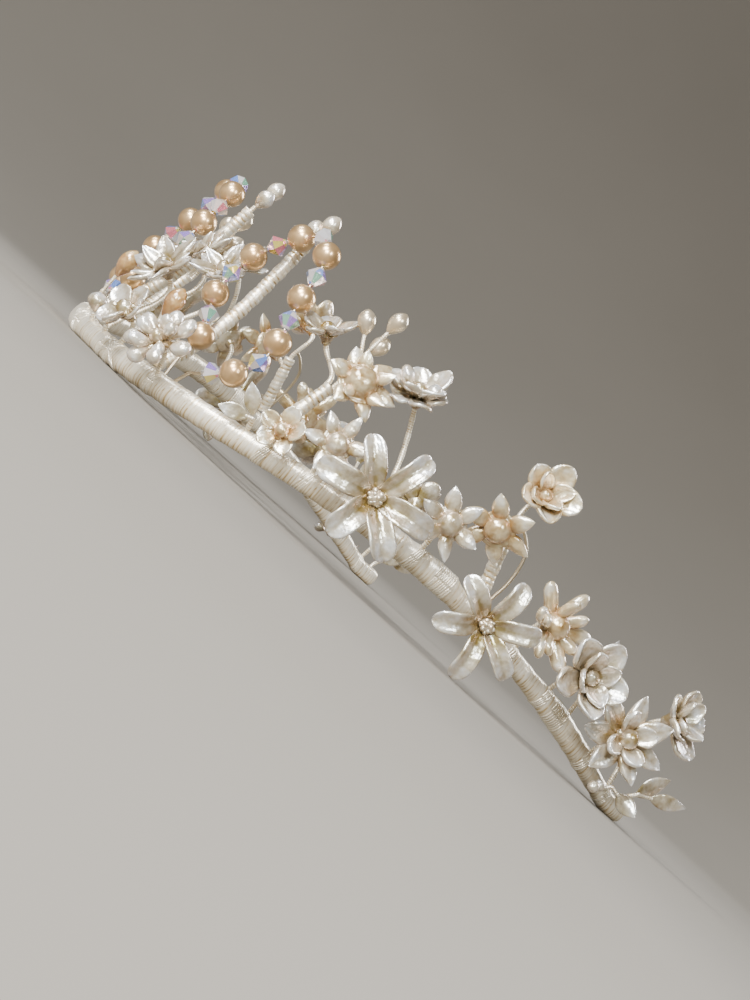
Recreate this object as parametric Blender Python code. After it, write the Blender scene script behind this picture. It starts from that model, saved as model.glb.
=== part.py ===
"""Bridal crown: a thread-bound wire band, open at the back, that carries bead loops and wax blossoms.

The origin is on the band's underside at the front centre, +Z is up, the wearer faces -Y and the wearer's left
is +X. Each piece is shaped on the left and mirrored, except the two blossoms in front of the left bead loop.
Places on the crown are given as (along, rise, out): millimetres along the band from its front centre,
above the band's axis and outwards from it.
"""

import math
from collections import namedtuple

import bmesh
import bpy
import numpy as np
from mathutils import Matrix, Vector

MM = 0.001

# Driving sizes, in millimetres
BAND_HALF_SPAN = 70.0  # half the distance between the two ends
BAND_DEPTH = 132.0  # from the front centre back to the ends
BAND_SQUARENESS = 2.5  # 2 is an ellipse, more is squarer at the temples
BAND_ARCH = 10.2  # how far the sides lift above the three places that rest
FRONT_SEAT_DEPTH = 0.5  # the band lies flat until it has run this far back from its front centre
END_SEAT_LENGTH = 6.0  # and again at each end
BAND_HALF_HEIGHT = 2.5
BAND_HALF_THICK = 2.0
BAND_SECTION_POWER = 2.6
BAND_SECTION_SIDES = 8
BAND_STEP = 5.0  # spacing of the sections along the band
BAND_GIRTH = (  # (along, share of the full section): the binding is thicker where stems are bound in
    (0.0, 1.00),
    (30.0, 1.08),
    (58.0, 0.98),
    (96.0, 1.12),
    (101.0, 1.12),
    (105.0, 0.90),
    (128.0, 0.92),
    (138.0, 1.08),
    (150.0, 1.04),
    (156.0, 0.88),
    (170.0, 0.88),
)

GAP = 0.3  # clearance between pieces that sit on one another
WELD = 0.02  # corners closer than this become one
STEM_RADIUS = 0.55
WIRE_RADIUS = 0.45

PEARL_RADIUS = 2.9
CRYSTAL_RADIUS = 2.3
BEAD_PITCH = 5.6
BEAD_COUNT = 16
PEARL_SECTIONS = (-54, -18, 18, 54)  # degrees from a pearl's girdle
LOOP_WIRE_RADIUS = 0.6
LOOP_FOOT = (27.0, 0.0, -1.0)  # the loop's plane stands here on the band
LOOP_YAW = 10.0  # degrees that the plane is turned from the band's run towards square to the face
LOOP_LEAN = 7.0  # degrees that it leans back
LOOP_FOOT_RISE = 3.9
LOOP_OUTLINE = (  # (sideways, up) in the loop's plane, from one foot to the other
    (-0.8, 8.0),
    (-1.2, 14.0),
    (-8.6, 23.0),
    (-8.8, 32.5),
    (-2.6, 42.0),
    (3.2, 44.8),
    (8.6, 40.6),
    (12.4, 31.0),
    (17.8, 20.0),
    (15.2, 12.6),
    (9.6, 8.9),
    (5.4, 6.2),
)
LOOP_FEET = (0.6, 4.0)  # sideways from the foot

POST_RADIUS = 1.55
POST_PATH = ((24.0, 3.2, -0.9), (23.6, 9.4, -5.0), (22.8, 22.0, -9.2), (21.2, 42.2, -11.8))

# A blossom's cut: its petals and how they are shaped, in millimetres
Cut = namedtuple(
    "Cut", "petals blunt reach shoulder half_width notch cup channel heart_radius heart_height depth"
)
CUTS = {
    "lily": Cut(6, False, 12.6, 10.4, 2.5, 3.6, 2.4, 0.5, 2.2, 3.0, 2.2),
    "star": Cut(6, False, 7.4, 4.8, 1.5, 2.9, 1.6, -0.2, 2.5, 3.0, 2.0),
    "sharp_star": Cut(6, False, 7.6, 4.4, 1.1, 2.7, 2.4, -0.2, 2.0, 2.2, 2.0),
    "cup": Cut(5, True, 6.4, 5.9, 2.4, 3.9, 2.6, 0.3, 2.3, 2.6, 2.2),
    "deep_cup": Cut(5, True, 6.0, 5.6, 2.4, 3.9, 3.8, 0.3, 2.2, 2.8, 2.4),
    "round": Cut(6, True, 7.0, 6.5, 2.2, 4.2, 2.2, 0.2, 2.6, 3.0, 2.2),
}
CALYX_RADIUS = 1.1
PETAL_THICK = 0.9

# Where each blossom sits, which way it faces and where its stem is bound.
# turn is towards the back of the crown and lift is upwards, both in degrees from straight outwards.
Bloom = namedtuple("Bloom", "name cut along rise out turn lift spin scale foot")
BLOOMS = (
    Bloom("front_round", "round", 29.0, 6.9, 8.4, -8, 14, 10, 1.00, 28.4),
    Bloom("front_cup", "cup", 14.0, 8.0, 5.2, -6, 12, 20, 0.92, 13.4),
    Bloom("top_star", "sharp_star", 8.6, 28.0, -8.2, 16, 30, 0, 1.00, 9.0),
    Bloom("pearl_cup", "cup", 48.2, 27.2, -4.2, -44, 50, 0, 0.86, "branch"),
    Bloom("peach_star", "star", 60.8, 22.0, 3.4, 6, 30, 12, 1.00, "branch"),
    Bloom("double_cup", "deep_cup", 70.8, 26.2, -0.8, -46, 50, 0, 1.04, 79.0),
    Bloom("small_cup", "cup", 56.6, 5.6, 6.0, -12, 6, 30, 0.74, 56.0),
    Bloom("near_star", "star", 65.4, 9.4, 6.2, 4, 16, 25, 0.86, 65.4),
    Bloom("lily_front", "lily", 76.6, 4.8, 9.4, 0, 6, 12, 1.00, 76.6),
    Bloom("mid_star", "star", 90.8, 9.6, 6.0, 4, 8, 0, 0.94, 91.4),
    Bloom("nodding_star", "star", 99.0, 15.0, 4.6, -12, -22, 0, 1.00, "rear"),
    Bloom("high_cup", "deep_cup", 102.8, 26.2, 1.0, -8, 26, 15, 1.06, "rear"),
    Bloom("lily_rear", "lily", 108.4, 0.2, 9.4, 0, 4, 30, 0.92, 108.4),
    Bloom("rear_star", "sharp_star", 121.6, 10.4, 4.2, 16, 20, 10, 1.20, 120.6),
    Bloom("low_cup", "deep_cup", 134.4, 9.4, 5.8, -6, 16, 8, 1.30, 132.8),
    Bloom("end_round", "round", 150.4, 8.8, 6.6, -8, 20, 0, 1.24, 150.4),
    Bloom("end_cup", "deep_cup", 162.2, 22.0, -0.2, 20, 34, 15, 1.04, 160.6),
)
CENTRE_BLOOM = Bloom("centre_star", "sharp_star", 0.0, 20.4, -1.6, 0, 24, 90, 1.08, 0.0)

# The two thick bound branches: foot and tip, each (along, rise, out)
BRANCH_RADIUS = 1.5
BRANCHES = {
    "branch": ((53.4, 3.2, -0.6), (56.6, 18.6, -2.0)),
    "rear": ((108.0, 3.2, -0.4), (103.2, 17.0, -0.8)),
}
# Where stems stand on a branch: sideways and outwards from the middle of its tip,
# or on its outer side, this far below the tip
BRANCH_SEATS = {
    "pearl_cup": (-0.95, -0.2, 0.0),
    "peach_star": (0.85, 0.35, 0.0),
    "stamens": (0.3, -1.0, 0.0),
    "nodding_star": (0.0, 0.0, 2.6),
    "high_cup": (0.0, 0.0, 0.0),
}

# Buds and drops: (swelling length, greatest radius) on a wire from foot to tip
Shoot = namedtuple("Shoot", "tip length radius flat")
Spray = namedtuple("Spray", "name foot fork shoots")
SPRAYS = (
    Spray("amber_bud", 17.6, (17.6, 8.0, 0.6), (Shoot((17.0, 19.6, 0.8), 8.4, 2.5, 1.0),)),
    Spray("small_bud", 5.0, (5.0, 3.4, 2.0), (Shoot((5.2, 7.6, 3.8), 4.4, 2.2, 1.0),)),
    Spray(
        "post_buds",
        "post",
        (21.1, 43.6, -12.0),
        (Shoot((17.4, 48.6, -12.6), 5.6, 1.9, 1.0), Shoot((21.8, 51.4, -13.6), 5.6, 1.9, 1.0)),
    ),
    Spray(
        "stamens",
        "branch",
        (57.2, 26.6, -2.6),
        (
            Shoot((51.4, 36.0, -3.2), 5.6, 1.9, 1.0),
            Shoot((58.2, 39.0, -2.6), 5.6, 1.9, 1.0),
            Shoot((58.8, 33.0, -5.4), 5.6, 1.9, 1.0),
        ),
    ),
    Spray(
        "side_leaves",
        50.6,
        (50.2, 5.0, 2.6),
        (Shoot((46.0, 10.6, 4.6), 6.6, 1.7, 0.42), Shoot((44.2, 3.2, 5.0), 6.6, 1.7, 0.42)),
    ),
    Spray(
        "high_leaves",
        141.0,
        (141.2, 10.0, -1.4),
        (Shoot((138.4, 20.2, -0.6), 7.2, 1.7, 0.4), Shoot((143.8, 19.4, -2.4), 6.6, 1.6, 0.4)),
    ),
    Spray(
        "end_drops",
        158.6,
        (159.0, 2.4, 3.6),
        (
            Shoot((163.6, 1.6, 9.6), 6.4, 2.0, 0.45),
            Shoot((152.0, -1.4, 8.2), 3.0, 1.2, 1.0),
            Shoot((149.4, -3.2, 10.4), 3.4, 1.3, 1.0),
        ),
    ),
    Spray(
        "end_leaves",
        165.0,
        (167.2, 5.8, 1.2),
        (Shoot((171.6, 12.4, 0.6), 9.0, 2.4, 0.36), Shoot((178.4, 10.0, 2.2), 9.4, 1.8, 0.36)),
    ),
)

# Blossoms that only the wearer's left side has
LEFT_BLOOMS = ("front_round", "front_cup")

# Blossoms whose wax is stained peach
PEACH_BLOOMS = ("small_cup", "peach_star", "nodding_star", "high_cup", "rear_star")

COLOURS = {  # (red, green, blue, roughness), linear
    "thread": (0.78, 0.71, 0.58, 0.45),
    "pearl": (0.70, 0.49, 0.32, 0.22),
    "wax": (0.82, 0.77, 0.68, 0.28),
    "peach": (0.80, 0.60, 0.42, 0.30),
    "leaf": (0.84, 0.80, 0.73, 0.25),
}


def band_curve():
    """The band's axis seen from above, as a fine table of (along, x, y), from the right end to the left."""
    turn = np.linspace(-math.pi / 2, math.pi / 2, 4001)
    power = 2 / BAND_SQUARENESS
    x = BAND_HALF_SPAN * np.sign(np.sin(turn)) * np.abs(np.sin(turn)) ** power
    y = BAND_DEPTH * (1 - np.abs(np.cos(turn)) ** power)
    along = np.concatenate(([0.0], np.cumsum(np.hypot(np.diff(x), np.diff(y)))))
    return along - along[len(along) // 2], x, y


def section_radius(angle):
    """The band section's radius at an angle above straight outwards."""
    wide = abs(math.cos(angle) / BAND_HALF_THICK) ** BAND_SECTION_POWER
    tall = abs(math.sin(angle) / BAND_HALF_HEIGHT) ** BAND_SECTION_POWER
    return (wide + tall) ** (-1 / BAND_SECTION_POWER)


def section_points():
    """The corners of the band's section, (outwards, up), with a flat side underneath."""
    angles = [2 * math.pi * (index + 0.5) / BAND_SECTION_SIDES for index in range(BAND_SECTION_SIDES)]
    return [(section_radius(a) * math.cos(a), section_radius(a) * math.sin(a)) for a in angles]


ALONG, PATH_X, PATH_Y = band_curve()
HALF_LENGTH = float(ALONG[-1])
AXIS_HEIGHT = -min(up for _, up in section_points())


def girth(along):
    """How thick the binding is at a place, as a share of the full section."""
    places, shares = zip(*BAND_GIRTH)
    return float(np.interp(abs(along), places, shares))


def band_point(along):
    """A point on the band's axis; past an end it goes straight on."""
    inside = max(-HALF_LENGTH, min(HALF_LENGTH, along))
    x = float(np.interp(inside, ALONG, PATH_X))
    y = float(np.interp(inside, ALONG, PATH_Y)) + abs(along) - abs(inside)
    share = (y - FRONT_SEAT_DEPTH) / (BAND_DEPTH - FRONT_SEAT_DEPTH - END_SEAT_LENGTH)
    arch = BAND_ARCH * math.sin(math.pi * max(0.0, min(1.0, share)))
    return Vector((x, y, arch + AXIS_HEIGHT * girth(along)))


def band_axes(along):
    """The level directions at a place: along the band and outwards from it."""
    step = 0.5
    inside = max(-HALF_LENGTH + step, min(HALF_LENGTH - step, along))
    run = band_point(inside + step) - band_point(inside - step)
    run.z = 0.0
    run.normalize()
    return run, Vector((run.y, -run.x, 0.0))


def place(along, rise, out):
    """The point at a height above the band's axis and a distance outwards from it."""
    return band_point(along) + band_axes(along)[1] * out + Vector((0, 0, rise))


def band_seat(along, towards):
    """Where a stem that comes from a point meets the band's binding, and the way out of the binding there."""
    centre = band_point(along)
    outward = band_axes(along)[1]
    reach = towards - centre
    angle = math.atan2(reach.z, reach.dot(outward))
    normal = outward * math.cos(angle) + Vector((0, 0, math.sin(angle)))
    return centre + normal * (section_radius(angle) * girth(along) + GAP), normal


def branch_seat(branch, piece):
    """Where a stem stands on a branch, and the way out of the branch there."""
    foot, tip = (place(*end) for end in BRANCHES[branch])
    normal = (tip - foot).normalized()
    run, outward = band_axes(BRANCHES[branch][1][0])
    side = run - normal * run.dot(normal)
    front = outward - normal * outward.dot(normal)
    front.normalize()
    shift_side, shift_front, below = BRANCH_SEATS[piece]
    if below:
        return tip - normal * below + front * (BRANCH_RADIUS + GAP), front
    return tip + side.normalized() * shift_side + front * shift_front + normal * GAP, normal


def post_seat():
    """The top of the loop's post, and the way it points."""
    middle, tip = (place(*stop) for stop in POST_PATH[-2:])
    normal = (tip - middle).normalized()
    return tip + normal * GAP, normal


def find_seat(name, foot, towards):
    """The seat of a stem: on the post, on a named branch, or on the band at a distance along it."""
    if foot == "post":
        return post_seat()
    if foot in BRANCHES:
        return branch_seat(foot, name)
    return band_seat(foot, towards)


def material(name):
    """A plain finish for one kind of piece."""
    found = bpy.data.materials.get(name)
    if found:
        return found
    made = bpy.data.materials.new(name)
    made.use_nodes = True
    shader = made.node_tree.nodes["Principled BSDF"]
    red, green, blue, rough = COLOURS[name]
    shader.inputs["Base Color"].default_value = (red, green, blue, 1)
    shader.inputs["Roughness"].default_value = rough
    shader.inputs["Metallic"].default_value = 0.0
    made.diffuse_color = (red, green, blue, 1)
    return made


def add_object(name, data, finish, collection):
    """A new object in the crown's collection with its finish."""
    made = bpy.data.objects.new(name, data)
    data.materials.clear()
    data.materials.append(material(finish))
    collection.objects.link(made)
    return made


def mesh_of(maker):
    """The welded mesh that an object shows with its modifiers; the object itself is removed."""
    view = bpy.context.evaluated_depsgraph_get()
    mesh = bpy.data.meshes.new_from_object(maker.evaluated_get(view))
    mesh.transform(maker.matrix_world)
    work = bmesh.new()
    work.from_mesh(mesh)
    bmesh.ops.remove_doubles(work, verts=work.verts, dist=WELD * MM)
    bmesh.ops.recalc_face_normals(work, faces=work.faces)
    work.to_mesh(mesh)
    work.free()
    bpy.data.objects.remove(maker)
    return mesh


def tube(points, radii, detail):
    """A closed tube through points in millimetres whose radius changes from point to point."""
    curve = bpy.data.curves.new("tube", "CURVE")
    curve.dimensions = "3D"
    curve.bevel_depth = MM
    curve.bevel_resolution = detail
    curve.use_fill_caps = True
    spline = curve.splines.new("POLY")
    spline.points.add(len(points) - 1)
    for knot, point, radius in zip(spline.points, points, radii):
        knot.co = (*(point * MM), 1)
        knot.radius = radius
    maker = bpy.data.objects.new("tube", curve)
    bpy.context.scene.collection.objects.link(maker)
    return mesh_of(maker)


def fuse(meshes):
    """One closed mesh from several that cross."""
    base = bpy.data.objects.new("base", meshes[0])
    bpy.context.scene.collection.objects.link(base)
    others = []
    for mesh in meshes[1:]:
        other = bpy.data.objects.new("other", mesh)
        bpy.context.scene.collection.objects.link(other)
        union = base.modifiers.new("union", "BOOLEAN")
        union.operation = "UNION"
        union.solver = "EXACT"
        union.object = other
        others.append(other)
    bpy.context.view_layer.update()
    joined = mesh_of(base)
    for other in others:
        bpy.data.objects.remove(other)
    return joined


def smooth_path(knots, steps):
    """A smooth curve through knots, with steps points on each stretch."""
    ends = [knots[0] * 2 - knots[1], *knots, knots[-1] * 2 - knots[-2]]
    points = []
    for before, start, finish, after in zip(ends, ends[1:], ends[2:], ends[3:]):
        for step in range(steps):
            t = step / steps
            points.append(
                start
                + (finish - before) * (t / 2)
                + (before * 2 - start * 5 + finish * 4 - after) * (t * t / 2)
                + (start * 3 - before - finish * 3 + after) * (t**3 / 2)
            )
    return [*points, knots[-1]]


def make_band(collection, guides):
    """The bound band: a flattened section with a flat underside, drawn along the horseshoe."""
    section = bpy.data.curves.new("band_section", "CURVE")
    section.dimensions = "2D"
    outline = section.splines.new("POLY")
    outline.points.add(BAND_SECTION_SIDES - 1)
    outline.use_cyclic_u = True
    for knot, (outwards, up) in zip(outline.points, section_points()):
        knot.co = (outwards * MM, up * MM, 0, 1)
    guide = bpy.data.objects.new("band_section", section)
    guide.hide_render = True
    guide.display_type = "WIRE"
    guides.objects.link(guide)

    count = 2 * round(HALF_LENGTH / BAND_STEP) + 1
    stops = np.linspace(-HALF_LENGTH, HALF_LENGTH, count)
    path = bpy.data.curves.new("band", "CURVE")
    path.dimensions = "3D"
    path.twist_mode = "Z_UP"
    path.bevel_mode = "OBJECT"
    path.bevel_object = guide
    path.use_fill_caps = True
    spline = path.splines.new("POLY")
    spline.points.add(count - 1)
    for knot, along in zip(spline.points, stops):
        knot.co = (*(band_point(float(along)) * MM), 1)
        knot.radius = girth(float(along))
    maker = bpy.data.objects.new("band_path", path)
    bpy.context.scene.collection.objects.link(maker)
    bpy.context.view_layer.update()
    return add_object("band", mesh_of(maker), "thread", collection)


def bead_loop_mesh():
    """The wire loop with a pearl and a crystal by turns, as one tube that swells at each bead."""
    base = place(*LOOP_FOOT)
    turn = Matrix.Rotation(math.radians(-LOOP_YAW), 3, "Z")
    side, front = (turn @ way for way in band_axes(LOOP_FOOT[0]))
    up = Vector((0, 0, 1)) * math.cos(math.radians(LOOP_LEAN)) - front * math.sin(math.radians(LOOP_LEAN))
    knots = [base + side * sideways + up * rise for sideways, rise in LOOP_OUTLINE]
    fine = smooth_path(knots, 24)
    lengths = [0.0]
    for start, finish in zip(fine, fine[1:]):
        lengths.append(lengths[-1] + (finish - start).length)
    first = (lengths[-1] - BEAD_PITCH * (BEAD_COUNT - 1)) / 2

    def at(length):
        return Vector([float(np.interp(length, lengths, axis)) for axis in zip(*fine)])

    feet = [base + side * sideways + up * LOOP_FOOT_RISE for sideways in LOOP_FEET]
    points = [feet[0]]
    radii = [LOOP_WIRE_RADIUS]
    for bead in range(BEAD_COUNT):
        middle = first + BEAD_PITCH * bead
        if bead == 0:
            points.append(at(middle - BEAD_PITCH / 2))
            radii.append(LOOP_WIRE_RADIUS)
        centre = at(middle)
        lead = (at(middle + BEAD_PITCH / 2) - at(middle - BEAD_PITCH / 2)).normalized()
        if bead % 2:
            stations = [(0.0, CRYSTAL_RADIUS)]
        else:
            angles = [math.radians(angle) for angle in PEARL_SECTIONS]
            stations = [(PEARL_RADIUS * math.sin(a), PEARL_RADIUS * math.cos(a)) for a in angles]
        for shift, radius in stations:
            points.append(centre + lead * shift)
            radii.append(radius)
        points.append(at(middle + BEAD_PITCH / 2))
        radii.append(LOOP_WIRE_RADIUS)
    points.append(feet[1])
    radii.append(LOOP_WIRE_RADIUS)
    return tube(points, radii, 3)


def bound_stem_mesh(path, radius):
    """A thread-bound stem, a little thinner at its tip."""
    points = [place(*stop) for stop in path]
    if len(points) > 2:
        points = smooth_path(points, 3)
    return tube(points, np.linspace(radius, radius * 0.88, len(points)), 2)


def petal_edge(cut, step):
    """A point of the blossom's edge: (petals round from the first, distance out, sideways)."""
    pointed = ((0.0, cut.reach, 0.0), (0.0, cut.shoulder, cut.half_width), (0.5, cut.notch, 0.0))
    stages = pointed[1:] if cut.blunt else pointed
    stages = (*stages, (1.0, cut.shoulder, -cut.half_width))
    petal, stage = divmod(step, len(stages))
    turn, reach, side = stages[stage]
    angle = 2 * math.pi * (petal + turn) / cut.petals
    return Vector(
        (
            reach * math.cos(angle) - side * math.sin(angle),
            reach * math.sin(angle) + side * math.cos(angle),
            0,
        )
    ), abs(side) / cut.half_width


def blossom_mesh(bloom):
    """A blossom with its stem: the rings of a ball are spread into heart, petals, calyx and foot."""
    cut = CUTS[bloom.cut]
    run, outward = band_axes(bloom.along)
    turn, lift = math.radians(bloom.turn), math.radians(bloom.lift)
    level = outward * math.cos(turn) + run * math.sin(turn)
    face = level * math.cos(lift) + Vector((0, 0, math.sin(lift)))
    across = Vector((0, 0, 1)).cross(level).normalized()
    axes = Matrix((across, face.cross(across), face)).transposed()
    spin = Matrix.Rotation(math.radians(bloom.spin), 3, "Z")
    centre = place(bloom.along, bloom.rise, bloom.out)
    seat, normal = find_seat(bloom.name, bloom.foot, centre - face * cut.depth * bloom.scale)
    seat_side = normal.orthogonal().normalized()
    seat_front = normal.cross(seat_side)

    edges = (3 if cut.blunt else 4) * cut.petals
    work = bmesh.new()
    bmesh.ops.create_uvsphere(work, u_segments=edges, v_segments=6, radius=1)
    for vert in work.verts:
        ring = round(math.acos(max(-1, min(1, vert.co.z))) / math.pi * 6)
        step = round(math.atan2(vert.co.y, vert.co.x) / (2 * math.pi) * edges) % edges
        edge, sideways = petal_edge(cut, step)
        way = edge.normalized()
        if ring == 0:
            local = Vector((0, 0, cut.heart_height))
        elif ring == 1:
            local = way * cut.heart_radius * 0.8 + Vector((0, 0, cut.heart_height * 0.66))
        elif ring == 2:
            local = way * cut.heart_radius + (edge - way * cut.heart_radius) * 0.45
            local.z = cut.cup * (local.length / cut.reach) ** 1.5 + PETAL_THICK / 2
        elif ring == 3:
            local = edge.copy()
            local.z = cut.cup * (edge.length / cut.reach) ** 1.5 + cut.channel * sideways
        else:
            local = way * CALYX_RADIUS / bloom.scale - Vector((0, 0, cut.depth))
        if ring < 5:
            vert.co = (centre + axes @ (spin @ local) * bloom.scale) * MM
        else:
            lean = axes @ (spin @ way)
            flat = seat_side * lean.dot(seat_side) + seat_front * lean.dot(seat_front)
            radius = STEM_RADIUS if ring == 5 else 0
            vert.co = (seat + flat.normalized() * radius) * MM
    mesh = bpy.data.meshes.new(bloom.name)
    work.to_mesh(mesh)
    work.free()
    return mesh


def bud_mesh(root, tip, shoot):
    """A wire from its root to a bud, drop or leaf: a ball drawn out towards the tip and flattened for a leaf."""
    lead = (tip - root).normalized()
    swell_start = tip - lead * shoot.length
    profile = ((0.0, 0.3), (0.22, 0.72), (0.55, 1.0), (0.82, 0.78), (1.0, 0.16))
    points = [root, *(swell_start + lead * (shoot.length * share) for share, _ in profile)]
    radii = [WIRE_RADIUS, *(max(WIRE_RADIUS, shoot.radius * size) for _, size in profile)]
    mesh = tube(points, radii, 2)
    if shoot.flat < 1:
        level = Vector((0, 0, 1)).cross(lead)
        thin = level.normalized() if level.length > 0.1 else Vector((1, 0, 0))
        squash = Matrix.Scale(shoot.flat, 4, thin)
        pivot = Matrix.Translation(root * MM)
        mesh.transform(pivot @ squash @ pivot.inverted())
    return mesh


def spray_mesh(spray):
    """A stem from its seat to a fork, with a bud, drop or leaf on each shoot."""
    fork = place(*spray.fork)
    seat, normal = find_seat(spray.name, spray.foot, fork)
    stem = tube([seat, seat + normal * 0.6, fork], [STEM_RADIUS] * 3, 1)
    below = fork + (seat - fork).normalized() * 0.4
    return fuse([stem, *(bud_mesh(below, place(*shoot.tip), shoot) for shoot in spray.shoots)])


def mirrored(mesh):
    """The same piece for the other side of the crown."""
    twin = mesh.copy()
    twin.transform(Matrix.Scale(-1, 4, Vector((1, 0, 0))))
    twin.flip_normals()
    return twin


def add_pair(name, mesh, finish, collection):
    """The left piece and, unless only that side has it, its mirrored right one."""
    add_object(name + "_left", mesh, finish, collection)
    if name not in LEFT_BLOOMS:
        add_object(name + "_right", mirrored(mesh), finish, collection)


def build():
    for old in list(bpy.data.objects):
        bpy.data.objects.remove(old)
    crown = bpy.data.collections.new("bridal_crown")
    guides = bpy.data.collections.new("guides")
    bpy.context.scene.collection.children.link(crown)
    bpy.context.scene.collection.children.link(guides)

    make_band(crown, guides)
    add_pair("bead_loop", bead_loop_mesh(), "pearl", crown)
    add_pair("loop_post", bound_stem_mesh(POST_PATH, POST_RADIUS), "thread", crown)
    for name, path in BRANCHES.items():
        add_pair(f"{name}_stem", bound_stem_mesh(path, BRANCH_RADIUS), "thread", crown)
    for bloom in BLOOMS:
        finish = "peach" if bloom.name in PEACH_BLOOMS else "wax"
        add_pair(bloom.name, blossom_mesh(bloom), finish, crown)
    add_object(CENTRE_BLOOM.name, blossom_mesh(CENTRE_BLOOM), "wax", crown)
    for spray in SPRAYS:
        add_pair(spray.name, spray_mesh(spray), "leaf", crown)


build()
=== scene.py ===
"""Fine forms and finishes of a bridal crown: bound wire, pearls, cut crystals and waxed blossoms.

Places on the crown are (along, rise, out): millimetres along the band from its front centre, above the
band's axis and outwards from it. Each piece is shaped on the wearer's left and mirrored to the right.
"""

import math
import random
from collections import namedtuple

import bmesh
import bpy
import numpy as np
from mathutils import Matrix, Vector


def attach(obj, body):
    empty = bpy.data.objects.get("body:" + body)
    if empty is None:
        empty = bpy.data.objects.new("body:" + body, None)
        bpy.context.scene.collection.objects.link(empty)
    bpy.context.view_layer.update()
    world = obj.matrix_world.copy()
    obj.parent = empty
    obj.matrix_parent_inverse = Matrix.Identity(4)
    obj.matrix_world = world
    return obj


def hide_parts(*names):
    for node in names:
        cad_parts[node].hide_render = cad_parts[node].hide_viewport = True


MM = 0.001
UP = Vector((0, 0, 1))

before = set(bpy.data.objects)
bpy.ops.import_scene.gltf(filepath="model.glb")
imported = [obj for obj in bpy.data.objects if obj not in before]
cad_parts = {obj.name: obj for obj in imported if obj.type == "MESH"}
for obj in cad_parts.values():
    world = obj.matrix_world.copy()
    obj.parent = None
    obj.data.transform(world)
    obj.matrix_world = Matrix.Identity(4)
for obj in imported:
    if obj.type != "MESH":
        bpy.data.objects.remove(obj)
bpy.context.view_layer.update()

# The band, as in the frame
BAND_HALF_SPAN = 70.0
BAND_DEPTH = 132.0
BAND_SQUARENESS = 2.5
BAND_ARCH = 10.2
FRONT_SEAT_DEPTH = 0.5
END_SEAT_LENGTH = 6.0
BAND_HALF_HEIGHT = 2.5
BAND_HALF_THICK = 2.0
BAND_SECTION_POWER = 2.6
BAND_AXIS_HEIGHT = 2.46
BAND_GIRTH = (  # (along, share of the full section)
    (0.0, 1.00),
    (30.0, 1.08),
    (58.0, 0.98),
    (96.0, 1.12),
    (101.0, 1.12),
    (105.0, 0.90),
    (128.0, 0.92),
    (138.0, 1.08),
    (150.0, 1.04),
    (156.0, 0.88),
    (170.0, 0.88),
)
GAP = 0.3
STEM_RADIUS = 0.55
SHOOT_RADIUS = 0.405
STEM_ROOT = 0.4

# The bead loops and their posts
PEARL_RADIUS = 2.9
CRYSTAL_RADIUS = 2.3
CRYSTAL_FACETS = 8
CRYSTAL_PROFILE = (  # (along the hole, radius)
    (-2.15, 0.62),
    (-1.75, 0.95),
    (0.0, CRYSTAL_RADIUS),
    (1.75, 0.95),
    (2.15, 0.62),
)
BEAD_PITCH = 5.6
BEAD_COUNT = 16
LOOP_WIRE_RADIUS = 0.35
LOOP_FOOT = (27.0, 0.0, -1.0)
LOOP_YAW = 10.0
LOOP_LEAN = 7.0
LOOP_FOOT_RISE = 2.4
LOOP_OUTLINE = (  # (sideways, up) in the loop's plane
    (-0.8, 8.0),
    (-1.2, 14.0),
    (-8.6, 23.0),
    (-8.8, 32.5),
    (-2.6, 42.0),
    (3.2, 44.8),
    (8.6, 40.6),
    (12.4, 31.0),
    (17.8, 20.0),
    (15.2, 12.6),
    (9.6, 8.9),
    (5.4, 6.2),
)
LOOP_FEET = (0.6, 4.0)
POST_RADIUS = 1.55
POST_TAPER = 0.9
POST_PATH = ((24.0, 3.2, -0.9), (23.6, 9.4, -5.0), (22.8, 22.0, -9.2), (21.2, 42.2, -11.8))
BRANCH_RADIUS = 1.5
BRANCHES = {
    "branch": ((53.4, 3.2, -0.6), (56.6, 18.6, -2.0)),
    "rear": ((108.0, 3.2, -0.4), (103.2, 17.0, -0.8)),
}
BRANCH_SEATS = {  # (sideways, outwards, below the tip)
    "pearl_cup": (-0.95, -0.2, 0.0),
    "peach_star": (0.85, 0.35, 0.0),
    "stamens": (0.3, -1.0, 0.0),
    "nodding_star": (0.0, 0.0, 2.6),
    "high_cup": (0.0, 0.0, 0.0),
}

# One wire that bows away from the rear stem
LOOSE_WIRE = (
    (109.4, 4.0, 0.6),
    (110.0, 10.4, 0.4),
    (109.0, 16.0, -0.2),
    (106.0, 18.8, -0.5),
    (103.4, 19.6, -0.6),
)
LOOSE_WIRE_RADIUS = 0.35

# How each kind of petal widens from its neck and closes at its tip, as shares of its length
Shape = namedtuple("Shape", "widens full closes power edge follow")
SHAPES = {
    "strap": Shape(0.0, 0.42, 0.72, 2.4, 0.60, 0.25),
    "round": Shape(0.10, 0.60, 0.50, 2.0, 0.50, 0.30),
    "tear": Shape(0.0, 0.42, 0.36, 1.8, 0.85, 1.0),
    "finger": Shape(0.0, 0.40, 0.68, 2.0, 0.50, 1.0),
    "club": Shape(0.30, 0.68, 0.70, 2.0, 0.50, 1.0),
}

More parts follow.
